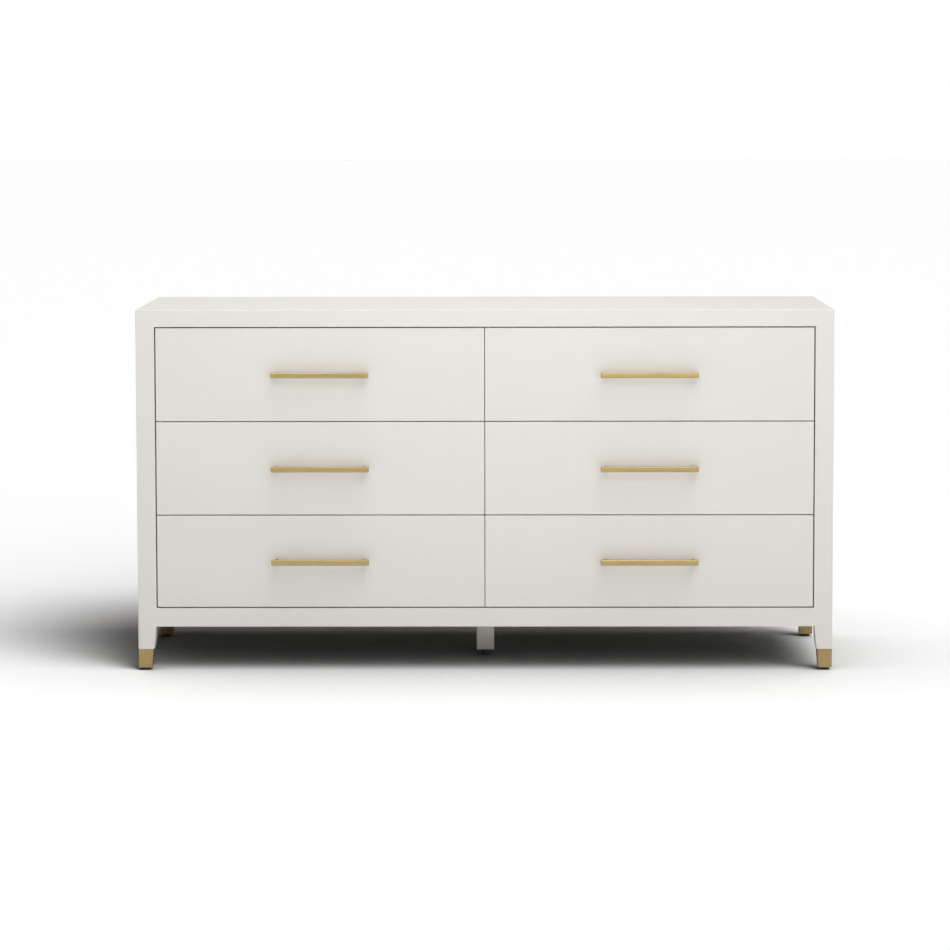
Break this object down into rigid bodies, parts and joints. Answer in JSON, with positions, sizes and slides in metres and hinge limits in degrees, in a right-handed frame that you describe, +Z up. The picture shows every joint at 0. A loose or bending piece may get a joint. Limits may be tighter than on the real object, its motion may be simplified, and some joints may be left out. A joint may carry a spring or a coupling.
{
  "type": "dresser with drawers",
  "caption": "Wide low dresser with flush inset drawers on slides, brass bar pulls, and tapered legs with brass ferrules and levelling glides.",
  "frame": {"origin": "on the floor, under the middle of the whole object, pulls included", "axes": "+X to the right seen from the front, +Y from front to back, +Z up; the drawers open towards -Y"},
  "size_m": [1.524, 0.484, 0.794],
  "materials": {
    "painted_wood": "satin warm white paint, sprayed",
    "brushed_brass": "brushed, satin lacquered",
    "drawer_birch": "clear satin lacquer",
    "plywood": "thin plywood, clear sealed",
    "slide_steel": "zinc plated sheet steel",
    "glide_plastic": "matte black"
  },
  "bodies": {
    "case": {"top_panel": "painted_wood", "left_side_panel": "painted_wood", "right_side_panel": "painted_wood", "bottom_panel": "painted_wood", "back_panel": "plywood", "centre_partition": "painted_wood", "bottom_front_rail": "painted_wood", "bottom_back_rail": "painted_wood", "top_back_rail": "painted_wood", "centre_bearer": "painted_wood", "centre_leg": "painted_wood", "front_left_post": "painted_wood", "front_left_ferrule": "brushed_brass", "back_left_post": "painted_wood", "back_left_ferrule": "brushed_brass", "front_right_post": "painted_wood", "front_right_ferrule": "brushed_brass", "back_right_post": "painted_wood", "back_right_ferrule": "brushed_brass", "bottom_left_outer_slide": "slide_steel", "bottom_left_inner_slide": "slide_steel", "middle_left_outer_slide": "slide_steel", "middle_left_inner_slide": "slide_steel", "top_left_outer_slide": "slide_steel", "top_left_inner_slide": "slide_steel", "bottom_right_outer_slide": "slide_steel", "bottom_right_inner_slide": "slide_steel", "middle_right_outer_slide": "slide_steel", "middle_right_inner_slide": "slide_steel", "top_right_outer_slide": "slide_steel", "top_right_inner_slide": "slide_steel"},
    "bottom_left_drawer": {"bottom_left_drawer_front": "painted_wood", "bottom_left_drawer_box": "drawer_birch", "bottom_left_drawer_bottom": "plywood", "bottom_left_drawer_pull": "brushed_brass"},
    "middle_left_drawer": {"middle_left_drawer_front": "painted_wood", "middle_left_drawer_box": "drawer_birch", "middle_left_drawer_bottom": "plywood", "middle_left_drawer_pull": "brushed_brass"},
    "top_left_drawer": {"top_left_drawer_front": "painted_wood", "top_left_drawer_box": "drawer_birch", "top_left_drawer_bottom": "plywood", "top_left_drawer_pull": "brushed_brass"},
    "bottom_right_drawer": {"bottom_right_drawer_front": "painted_wood", "bottom_right_drawer_box": "drawer_birch", "bottom_right_drawer_bottom": "plywood", "bottom_right_drawer_pull": "brushed_brass"},
    "middle_right_drawer": {"middle_right_drawer_front": "painted_wood", "middle_right_drawer_box": "drawer_birch", "middle_right_drawer_bottom": "plywood", "middle_right_drawer_pull": "brushed_brass"},
    "top_right_drawer": {"top_right_drawer_front": "painted_wood", "top_right_drawer_box": "drawer_birch", "top_right_drawer_bottom": "plywood", "top_right_drawer_pull": "brushed_brass"},
    "front_left_foot": {"front_left_glide": "glide_plastic"},
    "back_left_foot": {"back_left_glide": "glide_plastic"},
    "front_right_foot": {"front_right_glide": "glide_plastic"},
    "back_right_foot": {"back_right_glide": "glide_plastic"},
    "centre_foot": {"centre_glide": "glide_plastic"}
  },
  "joints": [
    {"name": "bottom_left_drawer_slide", "type": "slide", "parent": "case", "child": "bottom_left_drawer", "axis": [0, -1, 0], "range_m": [0, 0.3]},
    {"name": "middle_left_drawer_slide", "type": "slide", "parent": "case", "child": "middle_left_drawer", "axis": [0, -1, 0], "range_m": [0, 0.3]},
    {"name": "top_left_drawer_slide", "type": "slide", "parent": "case", "child": "top_left_drawer", "axis": [0, -1, 0], "range_m": [0, 0.3]},
    {"name": "bottom_right_drawer_slide", "type": "slide", "parent": "case", "child": "bottom_right_drawer", "axis": [0, -1, 0], "range_m": [0, 0.3]},
    {"name": "middle_right_drawer_slide", "type": "slide", "parent": "case", "child": "middle_right_drawer", "axis": [0, -1, 0], "range_m": [0, 0.3]},
    {"name": "top_right_drawer_slide", "type": "slide", "parent": "case", "child": "top_right_drawer", "axis": [0, -1, 0], "range_m": [0, 0.3]},
    {"name": "front_left_glide_turn", "type": "hinge", "parent": "case", "child": "front_left_foot", "pos_m": [-0.7466, -0.1996, 0], "axis": [0, 0, 1], "continuous": true},
    {"name": "back_left_glide_turn", "type": "hinge", "parent": "case", "child": "back_left_foot", "pos_m": [-0.7466, 0.2266, 0], "axis": [0, 0, 1], "continuous": true},
    {"name": "front_right_glide_turn", "type": "hinge", "parent": "case", "child": "front_right_foot", "pos_m": [0.7466, -0.1996, 0], "axis": [0, 0, 1], "continuous": true},
    {"name": "back_right_glide_turn", "type": "hinge", "parent": "case", "child": "back_right_foot", "pos_m": [0.7466, 0.2266, 0], "axis": [0, 0, 1], "continuous": true},
    {"name": "centre_glide_turn", "type": "hinge", "parent": "case", "child": "centre_foot", "pos_m": [0, -0.017, 0], "axis": [0, 0, 1], "continuous": true}
  ]
}
